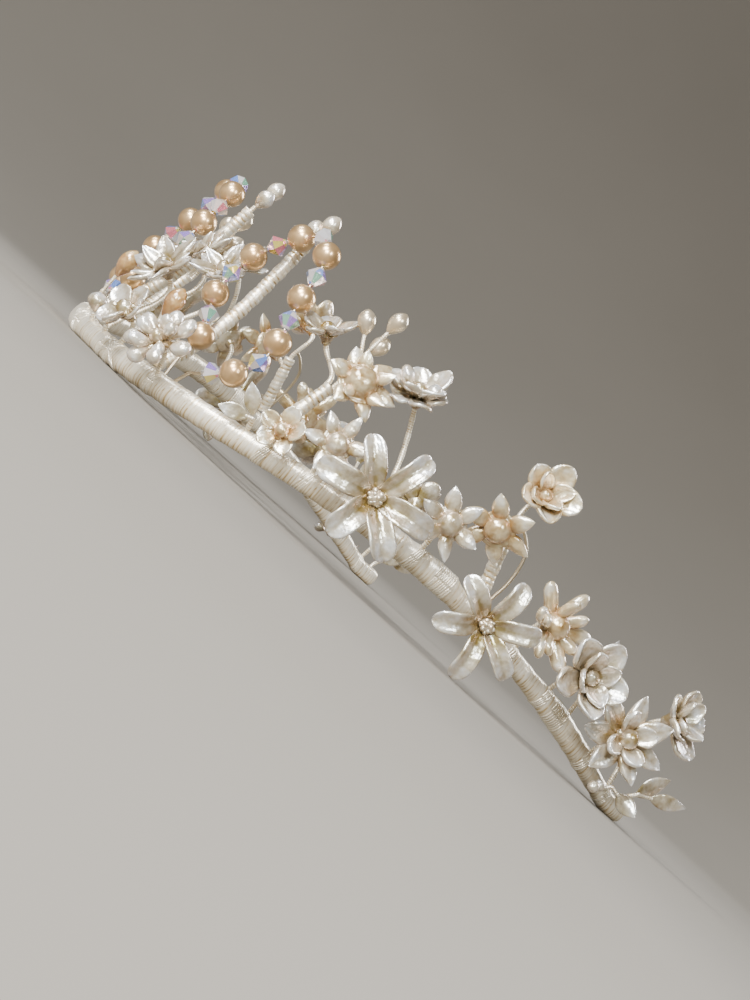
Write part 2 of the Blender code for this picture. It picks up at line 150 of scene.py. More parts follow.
# A row of petals has sizes in millimetres, its sway in degrees, and its first petal's place as a share
# of a petal; a heart is a plain dome, a pearl in a ring of small ones, or a cluster of lumps
Row = namedtuple("Row", "shape petals root reach width neck thick cup dish rim crease sway first")
Heart = namedtuple("Heart", "kind radius height")
Flower = namedtuple("Flower", "rows heart depth")
FLOWERS = {
    "lily": Flower(
        (Row("strap", 6, 1.2, 12.8, 2.5, 0.5, 0.9, 2.2, 1.1, 0.42, 0.45, 9, 0.0),),
        Heart("lumps", 1.7, 2.4),
        2.2,
    ),
    "star": Flower(
        (Row("tear", 6, 2.0, 7.9, 1.85, 0.55, 1.9, 1.7, -0.25, 0.1, 0.0, 11, 0.0),),
        Heart("dome", 2.75, 3.0),
        2.0,
    ),
    "big_dome": Flower(
        (
            Row("tear", 6, 2.6, 7.9, 1.9, 0.6, 2.0, 1.2, -0.2, 0.1, 0.0, 12, 0.0),
            Row("tear", 5, 2.4, 6.0, 1.5, 0.6, 1.6, 3.4, -0.2, 0.1, 0.0, 10, 0.5),
        ),
        Heart("dome", 3.4, 3.6),
        2.0,
    ),
    "sharp_star": Flower(
        (
            Row("tear", 6, 1.2, 8.3, 2.3, 0.5, 1.2, 2.4, 0.4, 0.25, 0.3, 12, 0.0),
            Row("tear", 5, 1.0, 5.8, 1.9, 0.5, 1.1, 3.6, 0.4, 0.2, 0.2, 12, 0.5),
        ),
        Heart("pearl", 1.7, 2.2),
        2.0,
    ),
    "fingers": Flower(
        (
            Row("finger", 6, 1.4, 7.8, 1.35, 0.8, 2.0, 2.2, 0.0, 0.0, 0.0, 13, 0.0),
            Row("finger", 5, 1.2, 5.4, 1.2, 0.8, 1.9, 4.0, 0.0, 0.0, 0.0, 12, 0.5),
        ),
        Heart("dome", 2.4, 3.2),
        2.0,
    ),
    "cup": Flower(
        (Row("round", 5, 1.2, 7.0, 2.8, 0.42, 0.8, 2.8, 0.95, 0.3, 0.0, 9, 0.0),),
        Heart("pearl", 2.1, 2.6),
        2.2,
    ),
    "deep_cup": Flower(
        (
            Row("round", 5, 1.2, 6.8, 2.75, 0.45, 0.85, 3.2, 1.0, 0.34, 0.0, 10, 0.0),
            Row("round", 4, 0.9, 4.4, 1.9, 0.5, 0.8, 4.4, 1.0, 0.3, 0.0, 10, 0.4),
        ),
        Heart("pearl", 1.4, 2.4),
        2.4,
    ),
    "double_cup": Flower(
        (
            Row("round", 6, 1.2, 6.4, 2.5, 0.5, 0.8, 0.6, -0.5, 0.3, 0.0, 8, 0.5),
            Row("round", 5, 1.2, 6.4, 2.8, 0.5, 0.8, 3.8, 1.1, 0.34, 0.0, 8, 0.0),
            Row("club", 2, 0.8, 4.6, 1.7, 0.4, 2.8, 5.0, 0.0, 0.0, 0.0, 6, 0.1),
        ),
        Heart("pearl", 1.7, 2.6),
        2.4,
    ),
    "round": Flower(
        (
            Row("club", 7, 1.4, 7.6, 1.75, 0.5, 3.0, 1.2, 0.0, 0.0, 0.0, 10, 0.0),
            Row("club", 5, 1.0, 5.2, 1.5, 0.5, 2.6, 3.6, 0.0, 0.0, 0.0, 10, 0.5),
        ),
        Heart("pearl", 1.6, 3.4),
        2.2,
    ),
    "broad_star": Flower(
        (
            Row("tear", 7, 1.6, 8.4, 2.1, 0.6, 1.6, 1.6, 0.35, 0.2, 0.15, 12, 0.0),
            Row("round", 4, 1.0, 5.2, 1.9, 0.6, 1.0, 3.4, 0.7, 0.3, 0.0, 12, 0.5),
        ),
        Heart("pearl", 1.8, 2.8),
        2.2,
    ),
}

# A blossom's face turns, lifts and spins in degrees; its foot is the place along the band, or the branch,
# that its stem is bound to
Bloom = namedtuple("Bloom", "name cut along rise out turn lift spin scale foot finish")
BLOOMS = (
    Bloom("front_round", "round", 29.0, 6.9, 8.4, -8, 14, 10, 1.00, 28.4, "wax"),
    Bloom("front_cup", "cup", 14.0, 8.0, 5.2, -6, 12, 20, 0.92, 13.4, "clear_wax"),
    Bloom("top_star", "sharp_star", 8.6, 28.0, -8.2, 16, 30, 0, 1.00, 9.0, "clear_wax"),
    Bloom("pearl_cup", "cup", 48.2, 27.2, -4.2, -44, 50, 0, 0.86, "branch", "clear_wax"),
    Bloom("peach_star", "big_dome", 60.8, 22.0, 3.4, 6, 30, 12, 1.00, "branch", "peach"),
    Bloom("double_cup", "double_cup", 70.8, 26.2, -0.8, -46, 50, 0, 1.04, 79.0, "clear_wax"),
    Bloom("small_cup", "cup", 56.6, 5.6, 6.0, -12, 6, 30, 0.74, 56.0, "peach"),
    Bloom("near_star", "star", 65.4, 9.4, 6.2, 4, 16, 25, 0.86, 65.4, "wax"),
    Bloom("lily_front", "lily", 76.6, 4.8, 9.4, 0, 6, 12, 1.00, 76.6, "clear_wax"),
    Bloom("mid_star", "star", 90.8, 9.6, 6.0, 4, 8, 0, 0.94, 91.4, "wax"),
    Bloom("nodding_star", "star", 99.0, 15.0, 4.6, -12, -22, 0, 1.00, "rear", "peach"),
    Bloom("high_cup", "deep_cup", 102.8, 26.2, 1.0, -8, 26, 15, 1.06, "rear", "peach"),
    Bloom("lily_rear", "lily", 108.4, 0.2, 9.4, 0, 4, 30, 0.92, 108.4, "clear_wax"),
    Bloom("rear_star", "fingers", 121.6, 10.4, 4.2, 16, 20, 10, 1.20, 120.6, "peach"),
    Bloom("low_cup", "deep_cup", 134.4, 9.4, 5.8, -6, 16, 8, 1.30, 132.8, "clear_wax"),
    Bloom("end_round", "broad_star", 150.4, 8.8, 6.6, -8, 20, 0, 1.22, 150.4, "wax"),
    Bloom("end_cup", "deep_cup", 162.2, 22.0, -0.2, 20, 34, 15, 1.14, 160.6, "clear_wax"),
)
CENTRE_BLOOM = Bloom("centre_star", "sharp_star", 0.0, 20.4, -1.6, 0, 24, 90, 1.08, 0.0, "clear_wax")
LEFT_BLOOMS = ("front_round", "front_cup")  # these have no twin on the right

# A spray's stem runs from its foot to its fork, and each shoot ends in a bud or a drop, or in a leaf where
# flat, its thickness as a share of its width, is under 1
Shoot = namedtuple("Shoot", "tip length radius flat")
Spray = namedtuple("Spray", "name foot fork finish shoots")
SPRAYS = (
    Spray("amber_bud", 17.6, (17.6, 8.0, 0.6), "amber", (Shoot((17.0, 19.2, 0.8), 7.4, 2.1, 1.0),)),
    Spray("small_bud", 5.0, (5.0, 3.4, 2.0), "clear_wax", (Shoot((5.2, 7.6, 3.8), 4.4, 2.2, 1.0),)),
    Spray(
        "post_buds",
        "post",
        (21.1, 43.6, -12.0),
        "wax",
        (Shoot((17.4, 48.6, -12.6), 5.6, 1.9, 1.0), Shoot((21.8, 51.4, -13.6), 5.6, 1.9, 1.0)),
    ),
    Spray(
        "stamens",
        "branch",
        (57.2, 26.6, -2.6),
        "champagne",
        (
            Shoot((51.4, 36.0, -3.2), 5.6, 1.9, 1.0),
            Shoot((58.2, 39.0, -2.6), 5.6, 1.9, 1.0),
            Shoot((58.8, 33.0, -5.4), 5.6, 1.9, 1.0),
        ),
    ),
    Spray(
        "side_leaves",
        50.6,
        (50.2, 5.0, 2.6),
        "clear_wax",
        (Shoot((46.0, 10.6, 4.6), 6.6, 1.7, 0.42), Shoot((44.2, 3.2, 5.0), 6.6, 1.7, 0.42)),
    ),
    Spray(
        "high_leaves",
        141.0,
        (141.2, 10.0, -1.4),
        "clear_wax",
        (Shoot((138.4, 20.2, -0.6), 7.2, 1.7, 0.4), Shoot((143.8, 19.4, -2.4), 6.6, 1.6, 0.4)),
    ),
    Spray(
        "end_drops",
        158.6,
        (159.0, 2.4, 3.6),
        "clear_wax",
        (
            Shoot((163.6, 1.6, 9.6), 6.4, 2.0, 0.45),
            Shoot((152.0, -1.4, 8.2), 3.0, 1.2, 1.0),
            Shoot((149.4, -3.2, 10.4), 3.4, 1.3, 1.0),
        ),
    ),
    Spray(
        "end_leaves",
        165.0,
        (167.2, 5.8, 1.2),
        "clear_wax",
        (Shoot((171.6, 12.4, 0.6), 9.0, 2.4, 0.36), Shoot((178.4, 10.0, 2.2), 9.4, 1.8, 0.36)),
    ),
)

# Thread: how far one turn of each winding carries it along, and how high its ridges stand
BAND_TURN = 0.8
BAND_RIDGE = 0.09
STEM_TURN = 0.55
STEM_RIDGE = 0.06
FORK_RIDGE = 0.09
POST_TURN = 1.15
POST_RIDGE = 0.24

# Coarser turns laid over the band: crossed near the front, then where stems are bound in
Binding = namedtuple("Binding", "along turns slant radius")
BINDINGS = (
    Binding(11.5, 3, 3.2, 0.24),
    Binding(13.5, 3, -2.8, 0.24),
    Binding(99.0, 9, 0.2, 0.22),
    Binding(138.0, 8, 0.3, 0.24),
)
BINDING_SINK = 0.07

# Grain of the finishes; a silk fibre is 0.02 mm across, too fine to show, so it is drawn 0.22 mm wide
FIBRE_WIDTH = 0.22
FIBRE_RELIEF = 0.09
LACQUER_CLOUD = 3.0
WAX_CLOUD = 2.2
WAX_DIMPLE = 1.5
WAX_RELIEF = 0.32

# The camera stands where the photograph was taken from, but just above the floor
CAMERA_PLACE = (437.0, -171.5, 10.0)
CAMERA_AIM = (28.4, 60.1, 16.5)
CAMERA_ROLL = 42.2
CAMERA_LENS = 80.0

# Lights, in metres and watts: a window high in front, a smaller light beside the camera, and narrow cards
# that put crisp glints on the wax
Softbox = namedtuple("Softbox", "name place width height power colour")
SOFTBOXES = (
    Softbox("window", (0.2, -0.82, 0.66), 0.36, 0.36, 27.0, "F5F8FF"),
    Softbox("front", (0.62, -0.62, 0.42), 0.24, 0.24, 13.0, "F7F9FF"),
    Softbox("card_left", (-0.35, -0.55, 0.75), 0.1, 0.3, 5.0, "EEF5FF"),
    Softbox("card_right", (0.85, -0.1, 0.6), 0.08, 0.3, 5.0, "EEF5FF"),
    Softbox("edge", (-0.15, 0.85, 0.65), 0.2, 0.5, 9.0, "F4F8FF"),
)
LIGHT_AIM = (0.02, 0.06, 0.02)
ROOM_COLOUR = "DCC6A2"
ROOM_STRENGTH = 0.2

dice = random.Random(11)


def linear(hex_colour):
    """An sRGB hex colour as linear red, green, blue and full alpha."""
    parts = [int(hex_colour[index : index + 2], 16) / 255 for index in (0, 2, 4)]
    return [part / 12.92 if part <= 0.04045 else ((part + 0.055) / 1.055) ** 2.4 for part in parts] + [1.0]


def add_node(tree, kind, settings=None, links=None, stops=()):
    """A shader node with its settings or socket values, links from other sockets, and a ramp's stops."""
    made = tree.nodes.new(kind)
    for name, value in (settings or {}).items():
        if isinstance(name, str) and hasattr(made, name):
            setattr(made, name, value)
        else:
            made.inputs[name].default_value = value
    for name, source in (links or {}).items():
        tree.links.new(source, made.inputs[name])
    if stops:
        ramp = made.color_ramp
        while len(ramp.elements) < len(stops):
            ramp.elements.new(0.5)
        for element, (position, colour) in zip(ramp.elements, stops):
            element.position = position
            element.color = linear(colour)
    return made


def new_material(name):
    """An empty node material and its tree."""
    made = bpy.data.materials.new(name)
    made.use_nodes = True
    made.node_tree.nodes.clear()
    return made, made.node_tree


def silk_floss():
    """Untwisted silk floss, wound close: a satin shine across the turns, painted golden shade in the
    furrows and under the band.
    """
    made, tree = new_material("silk_floss")
    # Painted shade: the attribute read here darkens the floss to gold in the furrows between turns and on
    # the band's underside
    thread_shade = add_node(tree, "ShaderNodeAttribute", {"attribute_name": "stain"})
    place_on = add_node(tree, "ShaderNodeUVMap", {"uv_map": "lay"})
    fibre_size = add_node(
        tree,
        "ShaderNodeMapping",
        {"Scale": (1 / (FIBRE_WIDTH * MM), 2.5, 1.0)},
        {"Vector": place_on.outputs["UV"]},
    )
    fibre = add_node(
        tree,
        "ShaderNodeTexNoise",
        {"Scale": 1.0, "Detail": 3.0, "Roughness": 0.6},
        {"Vector": fibre_size.outputs["Vector"]},
    )
    tone = add_node(
        tree,
        "ShaderNodeMath",
        {"operation": "MULTIPLY_ADD", 1: 0.65},
        {0: fibre.outputs["Fac"], 2: thread_shade.outputs["Fac"]},
    )
    colour = add_node(
        tree,
        "ShaderNodeValToRGB",
        links={"Fac": tone.outputs["Value"]},
        stops=((0.24, "FCF6E6"), (0.46, "F0E3C6"), (0.7, "C3A56D"), (1.0, "7D5D30")),
    )
    relief = add_node(
        tree,
        "ShaderNodeBump",
        {"Strength": 0.8, "Distance": FIBRE_RELIEF * MM},
        {"Height": fibre.outputs["Fac"]},
    )
    shader = add_node(
        tree,
        "ShaderNodeBsdfPrincipled",
        {
            "Metallic": 0.55,
            "Roughness": 0.29,
            "Sheen Weight": 0.1,
            "Sheen Roughness": 0.4,
            "Coat Weight": 0.4,
            "Coat Roughness": 0.2,
        },
        {"Base Color": colour.outputs["Color"], "Normal": relief.outputs["Normal"]},
    )
    add_node(tree, "ShaderNodeOutputMaterial", links={"Surface": shader.outputs["BSDF"]})
    return made


def pearl_lacquer(name, pale, deep):
    """Pearl essence lacquer over a glass bead: a soft bright lustre over a champagne body."""
    made, tree = new_material(name)
    place_in = add_node(tree, "ShaderNodeTexCoord")
    cloud = add_node(
        tree,
        "ShaderNodeTexNoise",
        {"Scale": 1 / (LACQUER_CLOUD * MM), "Detail": 2.0},
        {"Vector": place_in.outputs["Object"]},
    )
    colour = add_node(
        tree,
        "ShaderNodeValToRGB",
        links={"Fac": cloud.outputs["Fac"]},
        stops=((0.35, pale), (0.65, deep)),
    )
    shader = add_node(
        tree,
        "ShaderNodeBsdfPrincipled",
        {"Metallic": 0.8, "Roughness": 0.29, "Coat Weight": 0.8, "Coat Roughness": 0.06},
        {"Base Color": colour.outputs["Color"]},
    )
    add_node(tree, "ShaderNodeOutputMaterial", links={"Surface": shader.outputs["BSDF"]})
    return made


def cut_crystal():
    """Lead crystal under a thin vapour coating, which throws a colour from a facet here and there."""
    made, tree = new_material("cut_crystal")
    flash = add_node(tree, "ShaderNodeAttribute", {"attribute_name": "flash"})
    colour = add_node(
        tree,
        "ShaderNodeValToRGB",
        links={"Fac": flash.outputs["Fac"]},
        stops=(
            (0.0, "FFFCF8"),
            (0.3, "F3E9DC"),
            (0.5, "F58E97"),
            (0.6, "F4E472"),
            (0.69, "9ADFBB"),
            (0.78, "86ACFA"),
            (0.88, "B595EA"),
        ),
    )
    colour.color_ramp.interpolation = "CONSTANT"
    shader = add_node(
        tree,
        "ShaderNodeBsdfPrincipled",
        {
            "Metallic": 0.25,
            "Roughness": 0.04,
            "IOR": 1.58,
            "Transmission Weight": 0.5,
            "Coat Weight": 1.0,
            "Coat Roughness": 0.02,
            "Thin Film Thickness": 420.0,
            "Thin Film IOR": 1.9,
        },
        {"Base Color": colour.outputs["Color"]},
    )
    add_node(tree, "ShaderNodeOutputMaterial", links={"Surface": shader.outputs["BSDF"]})
    return made


def nacre_wax(name, pale, middle, deep, clear, lustre):
    """Cast wax dipped in pearl essence: wet glints over champagne, with painted shade that deepens it in
    the hollows.
    """
    made, tree = new_material(name)
    # Painted shade and tone: the attribute darkens the wax at petal roots, undersides, creases and
    # calyxes, and deepens the hearts
    depth = add_node(tree, "ShaderNodeAttribute", {"attribute_name": "stain"})
    place_in = add_node(tree, "ShaderNodeTexCoord")
    cloud = add_node(
        tree,
        "ShaderNodeTexNoise",
        {"Scale": 1 / (WAX_CLOUD * MM), "Detail": 3.0},
        {"Vector": place_in.outputs["Object"]},
    )
    tone = add_node(
        tree,
        "ShaderNodeMath",
        {"operation": "MULTIPLY_ADD", 1: 0.75},
        {0: depth.outputs["Fac"], 2: cloud.outputs["Fac"]},
    )
    colour = add_node(
        tree,
        "ShaderNodeValToRGB",
        links={"Fac": tone.outputs["Value"]},
        stops=((0.38, pale), (0.58, middle), (1.0, deep)),
    )
    dimple = add_node(
        tree,
        "ShaderNodeTexNoise",
        {"Scale": 1 / (WAX_DIMPLE * MM), "Detail": 1.5},
        {"Vector": place_in.outputs["Object"]},
    )
    relief = add_node(
        tree,
        "ShaderNodeBump",
        {"Strength": 0.9, "Distance": WAX_RELIEF * MM},
        {"Height": dimple.outputs["Fac"]},
    )
    shader = add_node(
        tree,
        "ShaderNodeBsdfPrincipled",
        {
            "Metallic": lustre,
            "Roughness": 0.27,
            "IOR": 1.5,
            "Transmission Weight": clear,
            "Subsurface Weight": 0.15,
            "Subsurface Radius": (1.2, 1.0, 0.8),
            "Subsurface Scale": MM,
            "Coat Weight": 1.0,
            "Coat Roughness": 0.04,
            "Coat IOR": 1.65,
            "Thin Film Thickness": 340.0,
            "Thin Film IOR": 1.8,
        },
        {"Base Color": colour.outputs["Color"], "Normal": relief.outputs["Normal"]},
    )
    add_node(tree, "ShaderNodeOutputMaterial", links={"Surface": shader.outputs["BSDF"]})
    return made


def pale_wire():
    """Drawn wire, pale and dulled: it shows only between beads, at the loops' feet and beside a stem."""
    made, tree = new_material("pale_wire")
    shader = add_node(
        tree,
        "ShaderNodeBsdfPrincipled",
        {"Base Color": linear("D2C2A6"), "Metallic": 1.0, "Roughness": 0.3},
    )
    add_node(tree, "ShaderNodeOutputMaterial", links={"Surface": shader.outputs["BSDF"]})
    return made


def painted_board():
    """A smooth painted board, matt and pale, with the faintest mottle."""
    made, tree = new_material("painted_board")
    place_on = add_node(tree, "ShaderNodeTexCoord")
    mottle = add_node(
        tree,
        "ShaderNodeTexNoise",
        {"Scale": 3.0, "Detail": 4.0},
        {"Vector": place_on.outputs["Object"]},
    )
    colour = add_node(
        tree,
        "ShaderNodeValToRGB",
        links={"Fac": mottle.outputs["Fac"]},
        stops=((0.3, "797368"), (0.7, "7E786D")),
    )
    shader = add_node(
        tree,
        "ShaderNodeBsdfPrincipled",
        {"Roughness": 0.85, "Specular IOR Level": 0.2},
        {"Base Color": colour.outputs["Color"]},
    )
    add_node(tree, "ShaderNodeOutputMaterial", links={"Surface": shader.outputs["BSDF"]})
    return made


FINISHES = {
    "thread": silk_floss(),
    "pearl": pearl_lacquer("pearl_lacquer", "DAB684", "C69E6B"),
    "champagne": pearl_lacquer("champagne_lacquer", "EADCC2", "D9C6A4"),
    "crystal": cut_crystal(),
    "wax": nacre_wax("pearly_wax", "F9F5EB", "E8DCC3", "A5894F", 0.0, 0.55),
    "clear_wax": nacre_wax("clear_wax", "F7F4EB", "E0D3B8", "99803F", 0.2, 0.5),
    "peach": nacre_wax("peach_wax", "F8EFDA", "E4D0A3", "A87F3C", 0.05, 0.5),
    "amber": nacre_wax("amber_wax", "ECCD94", "D3A562", "8F5B24", 0.1, 0.4),
    "wire": pale_wire(),
}


class Form:
    """The corners and faces of one piece, with what its finishes read at each."""

    def __init__(self):
        self.corners = []
        self.shades_and_tones = []
        self.faces = []
        self.lays = []
        self.finishes = []
        self.smooth = []

    def add_skin(self, rows, finish, stain=0.0, lay=None, smooth=True):
        """A closed skin over rings of corners.

        Its painted shade and tone is one number or a table with one for each corner, and lay is how far
        along each ring lies.
        """
        rows = np.asarray(rows, float)
        count, sides = rows.shape[:2]
        first = len(self.corners)
        self.corners.extend(rows.reshape(-1, 3))
        self.shades_and_tones.extend(np.broadcast_to(np.asarray(stain, float), (count, sides)).reshape(-1))
        if lay is None:
            lay = np.linspace(0, 0.01, count)
        for row in range(count - 1):
            for side in range(sides):
                after = (side + 1) % sides
                corner = first + row * sides
                above = corner + sides
                self.faces.append((corner + side, corner + after, above + after, above + side))
                near, far = lay[row], lay[row + 1]
                left, right = side / sides, (side + 1) / sides
                self.lays.append(((near, left), (near, right), (far, right), (far, left)))
        for row, order in ((0, -1), (count - 1, 1)):
            ring = [first + row * sides + side for side in range(sides)][::order]
            self.faces.append(tuple(ring))
            self.lays.append([(lay[row], 0.5)] * sides)
        added = (count - 1) * sides + 2
        self.finishes.extend([finish] * added)
        self.smooth.extend([smooth] * added)

    def make(self, name):
        """The finished mesh, in metres, with its painted shade and tone at corners, its flash on facets
        and its lay.
        """
        mesh = bpy.data.meshes.new(name)
        mesh.from_pydata((np.array(self.corners) * MM).tolist(), [], self.faces)
        names = sorted(set(self.finishes))
        for finish in names:
            mesh.materials.append(FINISHES[finish])
        mesh.polygons.foreach_set("material_index", [names.index(finish) for finish in self.finishes])
        mesh.polygons.foreach_set("use_smooth", self.smooth)
        stain = mesh.attributes.new("stain", "FLOAT", "POINT")
        stain.data.foreach_set("value", np.array(self.shades_and_tones, np.float32))
        flash = mesh.attributes.new("flash", "FLOAT", "FACE")
        flash.data.foreach_set("value", [dice.random() for _ in self.faces])
        lay = mesh.uv_layers.new(name="lay")
        pairs = [pair for face in self.lays for pair in face]
        lay.data.foreach_set("uv", np.array(pairs, np.float32).reshape(-1))
        work = bmesh.new()
        work.from_mesh(mesh)
        bmesh.ops.recalc_face_normals(work, faces=work.faces)
        work.to_mesh(mesh)
        work.free()
        mesh.validate()
        return mesh


def add_piece(name, mesh):
    """One piece of the crown, in place of the node of the same name."""
    piece = bpy.data.objects.new("fine_" + name, mesh)
    bpy.context.scene.collection.objects.link(piece)
    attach(piece, "root")
    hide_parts(name)


def add_pair(name, mesh):
    """The left piece and, unless only that side has it, its mirrored right one."""
    add_piece(name + "_left", mesh)
    if name in LEFT_BLOOMS:
        return
    twin = mesh.copy()
    twin.transform(Matrix.Scale(-1, 4, Vector((1, 0, 0))))
    twin.flip_normals()
    add_piece(name + "_right", twin)


def band_curve():
    """The band's axis seen from above, as a fine table of (along, x, y)."""
    turn = np.linspace(-math.pi / 2, math.pi / 2, 4001)
    power = 2 / BAND_SQUARENESS
    x = BAND_HALF_SPAN * np.sign(np.sin(turn)) * np.abs(np.sin(turn)) ** power
    y = BAND_DEPTH * (1 - np.abs(np.cos(turn)) ** power)
    along = np.concatenate(([0.0], np.cumsum(np.hypot(np.diff(x), np.diff(y)))))
    return along - along[len(along) // 2], x, y


ALONG, PATH_X, PATH_Y = band_curve()
HALF_LENGTH = float(ALONG[-1])


def girth(along):
    """How thick the binding is at a place, as a share of the full section."""
    places, shares = zip(*BAND_GIRTH)
    return float(np.interp(abs(along), places, shares))


def section_radius(angle):
    """The band section's radius at an angle above straight outwards."""
    wide = abs(math.cos(angle) / BAND_HALF_THICK) ** BAND_SECTION_POWER
    tall = abs(math.sin(angle) / BAND_HALF_HEIGHT) ** BAND_SECTION_POWER
    return (wide + tall) ** (-1 / BAND_SECTION_POWER)


def band_point(along):
    """A point on the band's axis; past an end it goes straight on."""
    inside = max(-HALF_LENGTH, min(HALF_LENGTH, along))
    x = float(np.interp(inside, ALONG, PATH_X))
    y = float(np.interp(inside, ALONG, PATH_Y)) + abs(along) - abs(inside)
    share = (y - FRONT_SEAT_DEPTH) / (BAND_DEPTH - FRONT_SEAT_DEPTH - END_SEAT_LENGTH)
    arch = BAND_ARCH * math.sin(math.pi * max(0.0, min(1.0, share)))
    return Vector((x, y, arch + BAND_AXIS_HEIGHT * girth(along)))


def band_axes(along):
    """The level directions at a place: along the band and outwards from it."""
    step = 0.5
    inside = max(-HALF_LENGTH + step, min(HALF_LENGTH - step, along))
    run = band_point(inside + step) - band_point(inside - step)
    run.z = 0.0
    run.normalize()
    return run, Vector((run.y, -run.x, 0.0))


def place(along, rise, out):
    """The point at a height above the band's axis and a distance outwards from it."""
    return band_point(along) + band_axes(along)[1] * out + UP * rise


def find_seat(name, foot, towards):
    """Where a stem is bound, and the way out of the binding there."""
    if foot == "post":
        middle, tip = (place(*stop) for stop in POST_PATH[-2:])
        normal = (tip - middle).normalized()
        return tip + normal * GAP, normal
    if foot in BRANCHES:
        start, tip = (place(*end) for end in BRANCHES[foot])
        normal = (tip - start).normalized()
        run, outward = band_axes(BRANCHES[foot][1][0])
        side = (run - normal * run.dot(normal)).normalized()
        front = (outward - normal * outward.dot(normal)).normalized()
        shift_side, shift_front, below = BRANCH_SEATS[name]
        if below:
            return tip - normal * below + front * (BRANCH_RADIUS + GAP), front
        return tip + side * shift_side + front * shift_front + normal * GAP, normal
    centre = band_point(foot)
    outward = band_axes(foot)[1]
    reach = towards - centre
    angle = math.atan2(reach.z, reach.dot(outward))
    normal = outward * math.cos(angle) + UP * math.sin(angle)
    return centre + normal * (section_radius(angle) * girth(foot) + GAP), normal


def smooth_path(knots, steps):
    """A smooth curve through knots, with steps points on each stretch."""
    ends = [knots[0] * 2 - knots[1], *knots, knots[-1] * 2 - knots[-2]]
    points = []
    for before, start, finish, after in zip(ends, ends[1:], ends[2:], ends[3:]):
        for step in range(steps):
            t = step / steps
            points.append(
                start
                + (finish - before) * (t / 2)
                + (before * 2 - start * 5 + finish * 4 - after) * (t * t / 2)
                + (start * 3 - before - finish * 3 + after) * (t**3 / 2)
            )
    return [*points, knots[-1]]


def bend(start, lead, finish, arrive):
    """A wire's natural bend from one point and direction to another."""
    pull = (finish - start).length * 0.38
    knots = (start, start + lead * pull, finish - arrive * pull, finish)
    points = []
    for t in np.linspace(0, 1, 13):
        t = float(t)
        weights = ((1 - t) ** 3, 3 * t * (1 - t) ** 2, 3 * t * t * (1 - t), t**3)
        points.append(sum((knot * weight for knot, weight in zip(knots, weights)), Vector()))
    return points


def even_steps(points, step):
    """Points evenly spaced along a path, with the distance to each."""
    table = np.array(points)
    lengths = np.concatenate(([0.0], np.cumsum(np.linalg.norm(np.diff(table, axis=0), axis=1))))
    count = max(2, round(lengths[-1] / step) + 1)
    at = np.linspace(0, lengths[-1], count)
    return np.stack([np.interp(at, lengths, axis) for axis in table.T], 1), at


def frames_along(points):
    """The two crosswise directions at each point of a path, carried along without twist.

    They start from a direction that no wire here follows.
    """
    leads = np.gradient(points, axis=0)
    leads /= np.linalg.norm(leads, axis=1)[:, None]
    first = np.array((0.3, 0.2, 1.0))
    sides, fronts = [], []
    for lead in leads:
        first = first - lead * first.dot(lead)
        first /= np.linalg.norm(first)
        sides.append(first)
        fronts.append(np.cross(lead, first))
    return np.array(sides), np.array(fronts)


def ring_angles(sides):
    """Angles spaced evenly round a ring."""
    return np.linspace(0, 2 * math.pi, sides, endpoint=False)


def tube_rows(path, radii, angles):
    """Rings of corners round a path, from one radius for each ring or for each corner."""
    side, front = frames_along(path)
    return (
        path[:, None, :]
        + side[:, None, :] * (radii * np.cos(angles))[:, :, None]
        + front[:, None, :] * (radii * np.sin(angles))[:, :, None]
    )


def wound_turns(turns):
    """How high each place stands on its turn of thread, 0 to 1, and how deep that turn's furrow is."""
    which = np.floor(turns)
    rise = np.abs(np.sin(math.pi * turns)) ** 0.6
    depth = 0.42 + 0.75 * np.abs(np.sin(which * 12.9898) * np.sin(which * 4.1414)) ** 1.5
    return rise, depth


def add_bound_wire(form, points, radius, turn, ridge, sides=8, taper=1.0):
    """A wire bound with a close spiral of thread: each turn stands up as a ridge that leans with it."""
    path, at = even_steps(points, turn / 4)
    angles = ring_angles(sides)
    sway = 1 + 0.05 * np.sin(at * 1.7 + dice.random() * 6)
    crest, depth = wound_turns(at[:, None] / turn + angles[None, :] / (2 * math.pi))
    shares = np.interp(at / at[-1], (0, 1), (1, taper))
    radii = (radius * shares * sway)[:, None] - ridge * (1 - crest) * depth
    # Painted shade in the furrows between turns, deeper where the furrow is deeper
    stain = (1 - crest) * depth * 0.75
    form.add_skin(tube_rows(path, radii, angles), "thread", stain=stain, lay=at * MM)


def add_rod(form, points, radius, finish, sides=8, stain=0.0, step=0.4):
    """A plain round rod along a path."""
    path, at = even_steps(points, step)
    radii = np.full((len(path), 1), radius)
    form.add_skin(tube_rows(path, radii, ring_angles(sides)), finish, stain=stain, lay=at * MM)


def add_ball(form, centre, radius, finish, stain=0.0, axis=UP, bumps=0.0, rings=12, sides=20):
    """A ball whose seam lies on its axis; bumps make it lumpy."""
    axis = axis.normalized()
    side = axis.orthogonal().normalized()
    front = axis.cross(side)
    polar = np.linspace(0.06, math.pi - 0.06, rings)
    angles = ring_angles(sides)
    lump = 1 + bumps * np.sin(angles * 5)[None, :] * np.sin(polar * 4)[:, None]
    flat = radius * np.sin(polar)[:, None] * lump
    rows = (
        np.array(centre)[None, None, :]
        + np.array(axis) * (radius * np.cos(polar))[:, None, None]
        + np.array(side) * (flat * np.cos(angles))[:, :, None]
        + np.array(front) * (flat * np.sin(angles))[:, :, None]
    )
    form.add_skin(rows, finish, stain=stain, lay=polar * radius * MM)


def add_crystal(form, centre, lead):
    """A cut bicone bead: flat facets on each cone, a small table round the hole at either end."""
    side = lead.orthogonal().normalized()
    front = lead.cross(side)
    start = dice.random() * math.pi
    rows = []
    for shift, radius in CRYSTAL_PROFILE:
        ring = []
        for facet in range(CRYSTAL_FACETS):
            angle = start + 2 * math.pi * facet / CRYSTAL_FACETS
            way = side * math.cos(angle) + front * math.sin(angle)
            ring.append(centre + lead * shift + way * radius)
        rows.append(ring)
    form.add_skin(rows, "crystal", smooth=False)


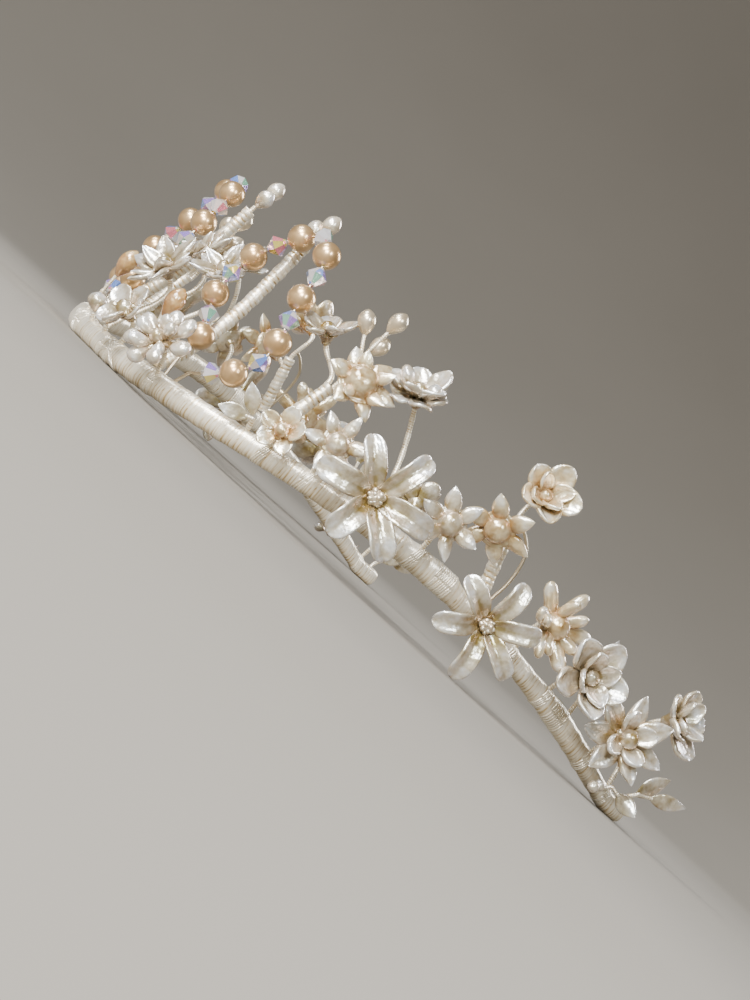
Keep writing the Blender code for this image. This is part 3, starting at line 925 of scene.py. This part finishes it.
def petal_half_width(shape, neck, shares):
    """Half a petal's width at shares of its length, as a share of its widest."""
    grown = np.sin(np.clip((shares - shape.widens) / (shape.full - shape.widens), 0, 1) * math.pi / 2)
    closing = np.clip((shares - shape.closes) / (1 - shape.closes), 0, 1)
    half = (neck + (1 - neck) * grown) * (1 - closing**shape.power) ** shape.edge
    return np.maximum(half, 0.05)


def petal_relief(row, across, over):
    """A petal's rolled rims, the crease down its middle and a furrow to each side of that."""
    rolled = row.rim * np.exp(-(((np.abs(across) - 0.8) / 0.16) ** 2)) * np.sign(over)
    creased = -row.crease * np.exp(-((across / 0.1) ** 2)) * (over > 0)
    furrows = -0.4 * row.crease * np.exp(-(((np.abs(across) - 0.42) / 0.1) ** 2)) * (over > 0)
    return rolled + creased + furrows


def add_petal(form, origin, axes, row, scale, azimuth, finish):
    """One cast petal: a closed skin, dished or crowned, with its own small sway, twist and ripple."""
    shape = SHAPES[row.shape]
    shares = 1 - (1 - np.linspace(0, 1, 16)) ** 1.6
    rounds = ring_angles(20)
    across, over = np.cos(rounds), np.sin(rounds)
    reach = row.reach * dice.uniform(0.93, 1.06)
    width = row.width * dice.uniform(0.9, 1.08)
    half = petal_half_width(shape, row.neck, shares)
    thick = row.thick / 2 * half**shape.follow * np.minimum(1, half / 0.35)

    # Its middle line rises to the tip; a strap petal rises and bends back again
    out = row.root + (reach - row.root) * shares
    rise = row.cup * (out / row.reach) ** 1.5 + dice.uniform(-0.5, 0.6) * shares**3
    if row.shape == "strap":
        rise = 1.35 * row.cup * np.sin(0.82 * math.pi * shares) + dice.uniform(-1.2, 0.4) * shares**3
    slope = np.gradient(rise, out)
    level = 1 / np.sqrt(1 + slope**2)

    # Round that line, its body, relief and dish
    body = np.sign(over) * np.abs(over) ** 0.8
    fade = (np.sin(shares * math.pi) ** 0.6)[:, None]
    dish = row.dish * dice.uniform(0.4, 1.15)
    relief = petal_relief(row, across, over) * fade
    bulge = thick[:, None] * body + relief + dish * half[:, None] * across**2
    side = width * half[:, None] * across + dice.uniform(-0.6, 0.6) * (shares**2)[:, None]
    waves = np.sin(shares * dice.uniform(9, 13) + dice.random() * 6)[:, None]
    ripple = 0.05 * row.width * waves * np.abs(across) ** 1.5
    twist = math.radians(dice.uniform(-12, 12))
    bulge = bulge + ripple + side * math.sin(twist)

    # Set on the blossom: tipped by its sway, turned to its azimuth, then to the blossom's face
    x = out[:, None] - (slope * level)[:, None] * bulge
    z = rise[:, None] + level[:, None] * bulge
    lift = math.radians(dice.uniform(-row.sway, row.sway))
    x, z = x * math.cos(lift) - z * math.sin(lift), x * math.sin(lift) + z * math.cos(lift)
    turned_x = x * math.cos(azimuth) - side * math.sin(azimuth)
    turned_y = x * math.sin(azimuth) + side * math.cos(azimuth)
    local = np.stack((turned_x, turned_y, z), -1) * scale
    rows = np.array(origin) + local @ np.array(axes.transposed())

    # Painted shade gathers at the root, underneath and in the crease
    stain = np.clip(0.7 - 0.95 * shares, 0, 1)[:, None] + 0.12 * (over < 0)
    if row.crease > 0:
        stain = stain + 0.2 * np.exp(-((across / 0.1) ** 2))
    form.add_skin(rows, finish, stain=stain, lay=shares * row.reach * scale * MM)


def add_turned(form, origin, axes, scale, stops, finish, stain=0.3, sides=24):
    """A round body turned about a blossom's face direction, from (radius, height) stops."""
    outline = smooth_path([Vector((radius, height, 0)) for radius, height in stops], 3)
    angles = ring_angles(sides)
    rows = []
    for stop in outline:
        radius = max(0.04, stop.x)
        ring = np.stack((radius * np.cos(angles), radius * np.sin(angles), np.full(sides, stop.y)), -1)
        rows.append(np.array(origin) + (ring * scale) @ np.array(axes.transposed()))
    form.add_skin(rows, finish, stain=stain, lay=np.linspace(0, 6 * MM, len(rows)))


def add_heart(form, heart, origin, axes, scale, finish):
    """The middle of a blossom: a dome, a pearl in a ring of small ones, or a cluster of lumps."""
    # Each heart is set a little deeper in tone than the petal tips
    face = axes @ UP
    radius, height = heart.radius, heart.height
    if heart.kind == "dome":
        stops = (
            (0.0, height),
            (0.5 * radius, 0.93 * height),
            (0.86 * radius, 0.66 * height),
            (radius, 0.36 * height),
            (1.12 * radius, 0.2 * height),
            (1.4 * radius, 0.16 * height),
            (1.3 * radius, -0.1 * height),
            (0.75 * radius, -0.35 * height),
        )
        add_turned(form, origin, axes, scale, stops, finish, stain=0.42)
    elif heart.kind == "pearl":
        small_pearls = 5
        add_ball(form, origin + face * height * 0.5 * scale, radius * scale, finish, stain=0.5, axis=face)
        for index in range(small_pearls):
            angle = 2 * math.pi * (index + 0.5) / small_pearls
            way = axes @ Vector((math.cos(angle), math.sin(angle), 0))
            spot = origin + (way * radius * 0.95 + face * height * 0.28) * scale
            add_ball(form, spot, radius * 0.42 * scale, finish, stain=0.55, rings=8, sides=12)
    else:
        lumps = 11
        middle = origin + face * height * 0.35 * scale
        add_ball(form, middle, radius * scale, "champagne", stain=0.3, axis=face, bumps=0.08)
        for index in range(lumps):
            angle = 2.4 * index + dice.random() * 0.5
            tilt = 0.25 + 1.05 * (index / lumps) ** 0.6
            across, upright = math.sin(tilt), math.cos(tilt)
            way = axes @ Vector((math.cos(angle) * across, math.sin(angle) * across, upright))
            spot = origin + (face * height * 0.35 + way * radius * 0.95) * scale
            size = dice.uniform(0.42, 0.68) * scale
            tint = "clear_wax" if index % 3 else "champagne"
            add_ball(form, spot, size, tint, stain=0.3, rings=8, sides=12)


def bloom_form(bloom):
    """A blossom with its rows of petals, heart, calyx and bound stem."""
    flower = FLOWERS[bloom.cut]
    form = Form()
    run, outward = band_axes(bloom.along)
    turn, lift = math.radians(bloom.turn), math.radians(bloom.lift)
    level = outward * math.cos(turn) + run * math.sin(turn)
    face = level * math.cos(lift) + UP * math.sin(lift)
    across = UP.cross(level).normalized()
    axes = Matrix((across, face.cross(across), face)).transposed()
    spun = axes @ Matrix.Rotation(math.radians(bloom.spin), 3, "Z")
    centre = place(bloom.along, bloom.rise, bloom.out)
    scale = bloom.scale

    for row in flower.rows:
        for index in range(row.petals):
            azimuth = 2 * math.pi * (index + row.first) / row.petals + dice.uniform(-0.07, 0.07)
            add_petal(form, centre, spun, row, scale, azimuth, bloom.finish)
    add_heart(form, flower.heart, centre, spun, scale, bloom.finish)

    depth = flower.depth
    calyx = (
        (0.2, 0.5),
        (1.5, 0.35),
        (2.2, 0.25),
        (1.9, -0.35),
        (1.25, -0.6 * depth),
        (0.85 / scale, -depth),
        (0.2, -depth),
    )
    # The calyx, behind the petals, is painted in shade
    add_turned(form, centre, axes, scale, calyx, bloom.finish, stain=0.55, sides=16)
    back = centre - face * depth * scale
    seat, normal = find_seat(bloom.name, bloom.foot, back)
    stem = bend(seat - normal * (GAP + STEM_ROOT), normal, back + face * STEM_ROOT, face)
    add_bound_wire(form, stem, STEM_RADIUS, STEM_TURN, STEM_RIDGE)
    return form


def add_shoot(form, root, shoot, finish):
    """A wire that swells into a bud or a drop, or a flat leaf with a raised rim and a midrib."""
    tip = place(*shoot.tip)
    lead = (tip - root).normalized()
    base = tip - lead * shoot.length
    level = UP.cross(lead)
    thin = level.normalized() if level.length > 0.1 else Vector((1, 0, 0))
    wide = thin.cross(lead)
    if (base - root).length > 0.6:
        wire = [root, (root + base) / 2, base + lead * 0.8]
        add_bound_wire(form, wire, SHOOT_RADIUS, STEM_TURN, STEM_RIDGE)
    shares = np.concatenate(((0.0, 0.05), np.linspace(0.12, 0.9, 11), (0.95, 0.985, 1.0)))
    angles = ring_angles(20)
    if shoot.flat < 1.0:
        profile = np.maximum(np.sin(math.pi * shares**0.92) ** 0.85, 0.08)
        half = profile[:, None] * shoot.radius
        cross = np.cos(angles)[None, :]
        rim = 0.5 + 0.5 * np.abs(cross) ** 3 + 0.3 * np.exp(-((cross / 0.16) ** 2))
        x = half * shoot.flat * 0.62 * np.sin(angles)[None, :] * rim + 0.12 * half * cross**2
        y = half * cross
    else:
        profile = np.maximum(np.sin(math.pi * shares**1.25) ** 0.62, 0.08)
        half = profile[:, None] * shoot.radius
        x = half * np.cos(angles)[None, :]
        y = half * np.sin(angles)[None, :]
    points = (
        np.array(base)
        + np.array(lead) * (shares * shoot.length)[:, None, None]
        + np.array(thin) * x[:, :, None]
        + np.array(wide) * y[:, :, None]
    )
    # Darker towards the base of the shoot, paler at its tip
    stain = (0.5 - 0.5 * shares)[:, None]
    form.add_skin(points, finish, stain=stain, lay=shares * shoot.length * MM)


def spray_form(spray):
    """A stem from its seat to a fork, with a bud, drop or leaf on each shoot."""
    form = Form()
    fork = place(*spray.fork)
    seat, normal = find_seat(spray.name, spray.foot, fork)
    lead = (fork - seat).normalized()
    stem = bend(seat - normal * (GAP + STEM_ROOT), normal, fork, lead)
    add_bound_wire(form, stem, STEM_RADIUS, STEM_TURN, FORK_RIDGE)
    for shoot in spray.shoots:
        add_shoot(form, fork - lead * 0.3, shoot, spray.finish)
    return form


def band_row(along, angles, lift):
    """Points round the band's binding at one place, a little above or below its surface."""
    outward = band_axes(along)[1]
    radii = np.array([section_radius(angle) for angle in angles])
    swell = 0.03 * math.sin(along * 0.9) * math.sin(along * 0.37) + 0.015 * math.sin(along * 2.3)
    reach = radii * (girth(along) * (1 + swell)) + lift
    level = np.array(outward) * (reach * np.cos(angles))[:, None]
    upright = np.array(UP) * (reach * np.sin(angles))[:, None]
    return level + upright + np.array(band_point(along))


def add_band_turns(form, middle, turns, slant, radius):
    """A few coarser turns of thread laid over the binding, each slanting along the band."""
    rounds = np.linspace(0, 2 * math.pi, 40)
    for turn in range(turns):
        start = middle + (turn - turns / 2) * radius * 2.3 + dice.uniform(-0.1, 0.1)
        lean = slant * dice.uniform(0.7, 1.3)
        path = []
        for angle in rounds:
            along = start + lean * math.sin(angle) + radius * angle / 3.2
            point = Vector(band_row(along, np.array([angle]), -BINDING_SINK)[0])
            point.z = max(point.z, radius + 0.02)
            path.append(point)
        add_rod(form, path, radius, "thread", sides=6, stain=0.06, step=0.45)


def band_form():
    """The band: silk floss wound over wire, in close turns, with coarser ones where stems are bound in."""
    form = Form()
    count = 2 * round(HALF_LENGTH / BAND_TURN * 4) + 1
    sides = 24
    angles = ring_angles(sides) + math.pi / sides
    places = np.linspace(-HALF_LENGTH, HALF_LENGTH, count)
    rows, shades_and_tones = [], []
    for along in map(float, places):
        drift = 0.3 * math.sin(along * 0.83) + 0.22 * math.sin(along * 2.17)
        crest, depth = wound_turns(along / BAND_TURN + drift + angles / (2 * math.pi))
        row = band_row(along, angles, -BAND_RIDGE * (1 - crest) * depth)
        inset = max(0.0, abs(along) - HALF_LENGTH + 1.2) / 1.3
        centre = np.array(band_point(along))
        rows.append(centre + (row - centre) * math.sqrt(max(0.05, 1 - inset**2)))
        # Painted shade in the furrows between turns, and painted shade along the band's underside
        shades_and_tones.append((1 - crest) * depth * 0.5 + 0.16 * np.clip(-np.sin(angles), 0, 1))
    rows = np.array(rows)
    rows[:, :, 2] = np.maximum(rows[:, :, 2], 0.0)
    form.add_skin(rows, "thread", stain=shades_and_tones, lay=(places - places[0]) * MM)
    for bloom in BLOOMS:
        if isinstance(bloom.foot, float):
            for side in (-1, 1):
                add_band_turns(form, side * bloom.foot, 4, 0.5, 0.2)
    for side in (-1, 1):
        for binding in BINDINGS:
            add_band_turns(form, side * binding.along, binding.turns, binding.slant, binding.radius)
    return form


def loop_form():
    """A wire loop strung with a lacquered pearl and a cut crystal by turns."""
    form = Form()
    base = place(*LOOP_FOOT)
    turn = Matrix.Rotation(math.radians(-LOOP_YAW), 3, "Z")
    side, front = (turn @ way for way in band_axes(LOOP_FOOT[0]))
    up = UP * math.cos(math.radians(LOOP_LEAN)) - front * math.sin(math.radians(LOOP_LEAN))
    fine = smooth_path([base + side * across + up * rise for across, rise in LOOP_OUTLINE], 24)
    lengths = [0.0]
    for start, finish in zip(fine, fine[1:]):
        lengths.append(lengths[-1] + (finish - start).length)
    first = (lengths[-1] - BEAD_PITCH * (BEAD_COUNT - 1)) / 2

    def at(length):
        return Vector([float(np.interp(length, lengths, axis)) for axis in zip(*fine)])

    feet = [base + side * across + up * LOOP_FOOT_RISE for across in LOOP_FEET]
    wire = smooth_path([feet[0], *fine[::8], feet[1]], 2)
    add_rod(form, wire, LOOP_WIRE_RADIUS, "wire")
    for bead in range(BEAD_COUNT):
        middle = first + BEAD_PITCH * bead
        centre = at(middle)
        lead = (at(middle + BEAD_PITCH / 2) - at(middle - BEAD_PITCH / 2)).normalized()
        if bead % 2:
            add_crystal(form, centre, lead)
        else:
            add_ball(form, centre, PEARL_RADIUS, "pearl", axis=lead, rings=20, sides=32)
    return form


def build_crown():
    """Every piece of the crown, in the order in which its small irregularities are drawn."""
    add_piece("band", band_form().make("band"))
    add_pair("bead_loop", loop_form().make("bead_loop"))
    post = Form()
    path = smooth_path([place(*stop) for stop in POST_PATH], 8)
    add_bound_wire(post, path, POST_RADIUS, POST_TURN, POST_RIDGE, sides=16, taper=POST_TAPER)
    add_pair("loop_post", post.make("loop_post"))
    for name, stops in BRANCHES.items():
        stem = Form()
        path = [place(*stop) for stop in stops]
        add_bound_wire(stem, path, BRANCH_RADIUS, POST_TURN, POST_RIDGE, sides=16, taper=POST_TAPER)
        if name == "rear":
            loose = smooth_path([place(*stop) for stop in LOOSE_WIRE], 6)
            add_rod(stem, loose, LOOSE_WIRE_RADIUS, "wire")
        add_pair(name + "_stem", stem.make(name + "_stem"))
    for bloom in BLOOMS:
        add_pair(bloom.name, bloom_form(bloom).make(bloom.name))
    add_piece(CENTRE_BLOOM.name, bloom_form(CENTRE_BLOOM).make(CENTRE_BLOOM.name))
    for spray in SPRAYS:
        add_pair(spray.name, spray_form(spray).make(spray.name))


def build_stage():
    """A pale floor that turns up all round into a seamless wall, in metres."""
    flat, sweep, wall, sides = 0.6, 0.9, 0.8, 96
    profile = [(flat * share, 0.0) for share in (0.02, 0.2, 0.5, 0.8, 1.0)]
    for step in range(1, 25):
        angle = math.pi / 2 * step / 24
        profile.append((flat + sweep * math.sin(angle), sweep * (1 - math.cos(angle))))
    profile.append((flat + sweep, sweep + wall))
    middle = Vector((0.0, 0.06, 0.0))
    work = bmesh.new()
    rings = []
    for radius, height in profile:
        ring = []
        for side in range(sides):
            angle = 2 * math.pi * side / sides
            corner = Vector((radius * math.cos(angle), radius * math.sin(angle), height))
            ring.append(work.verts.new(middle + corner))
        rings.append(ring)
    work.faces.new(rings[0])
    for inner, outer in zip(rings, rings[1:]):
        for side in range(sides):
            after = (side + 1) % sides
            work.faces.new((inner[side], outer[side], outer[after], inner[after]))
    mesh = bpy.data.meshes.new("floor")
    work.to_mesh(mesh)
    work.free()
    mesh.shade_smooth()
    mesh.materials.append(painted_board())
    floor = bpy.data.objects.new("floor", mesh)
    bpy.context.scene.collection.objects.link(floor)


def build_light():
    """The softboxes, all aimed at the crown, and a dim warm room round them."""
    for softbox in SOFTBOXES:
        light = bpy.data.lights.new(softbox.name, "AREA")
        light.shape = "RECTANGLE"
        light.size, light.size_y = softbox.width, softbox.height
        light.energy = softbox.power
        light.color = linear(softbox.colour)[:3]
        made = bpy.data.objects.new(softbox.name, light)
        made.location = Vector(softbox.place)
        made.rotation_mode = "QUATERNION"
        made.rotation_quaternion = (Vector(LIGHT_AIM) - made.location).to_track_quat("-Z", "Y")
        bpy.context.scene.collection.objects.link(made)
    world = bpy.data.worlds.new("room")
    world.use_nodes = True
    room = world.node_tree.nodes["Background"]
    room.inputs["Color"].default_value = linear(ROOM_COLOUR)
    room.inputs["Strength"].default_value = ROOM_STRENGTH
    bpy.context.scene.world = world


def build_camera():
    """The camera, rolled about its line of sight so that the crown slants as it does in the photograph."""
    data = bpy.data.cameras.new("camera")
    data.lens = CAMERA_LENS
    data.clip_start, data.clip_end = 0.01, 20.0
    camera = bpy.data.objects.new("camera", data)
    bpy.context.scene.collection.objects.link(camera)
    camera.location = Vector(CAMERA_PLACE) * MM
    ahead = (Vector(CAMERA_AIM) * MM - camera.location).normalized()
    level = ahead.cross(UP).normalized()
    upright = level.cross(ahead)
    roll = math.radians(CAMERA_ROLL)
    right = level * math.cos(roll) + upright * math.sin(roll)
    top = upright * math.cos(roll) - level * math.sin(roll)
    camera.rotation_mode = "QUATERNION"
    camera.rotation_quaternion = Matrix((right, top, -ahead)).transposed().to_quaternion()
    bpy.context.scene.camera = camera


build_camera()
build_crown()
build_stage()
build_light()
bpy.context.view_layer.update()
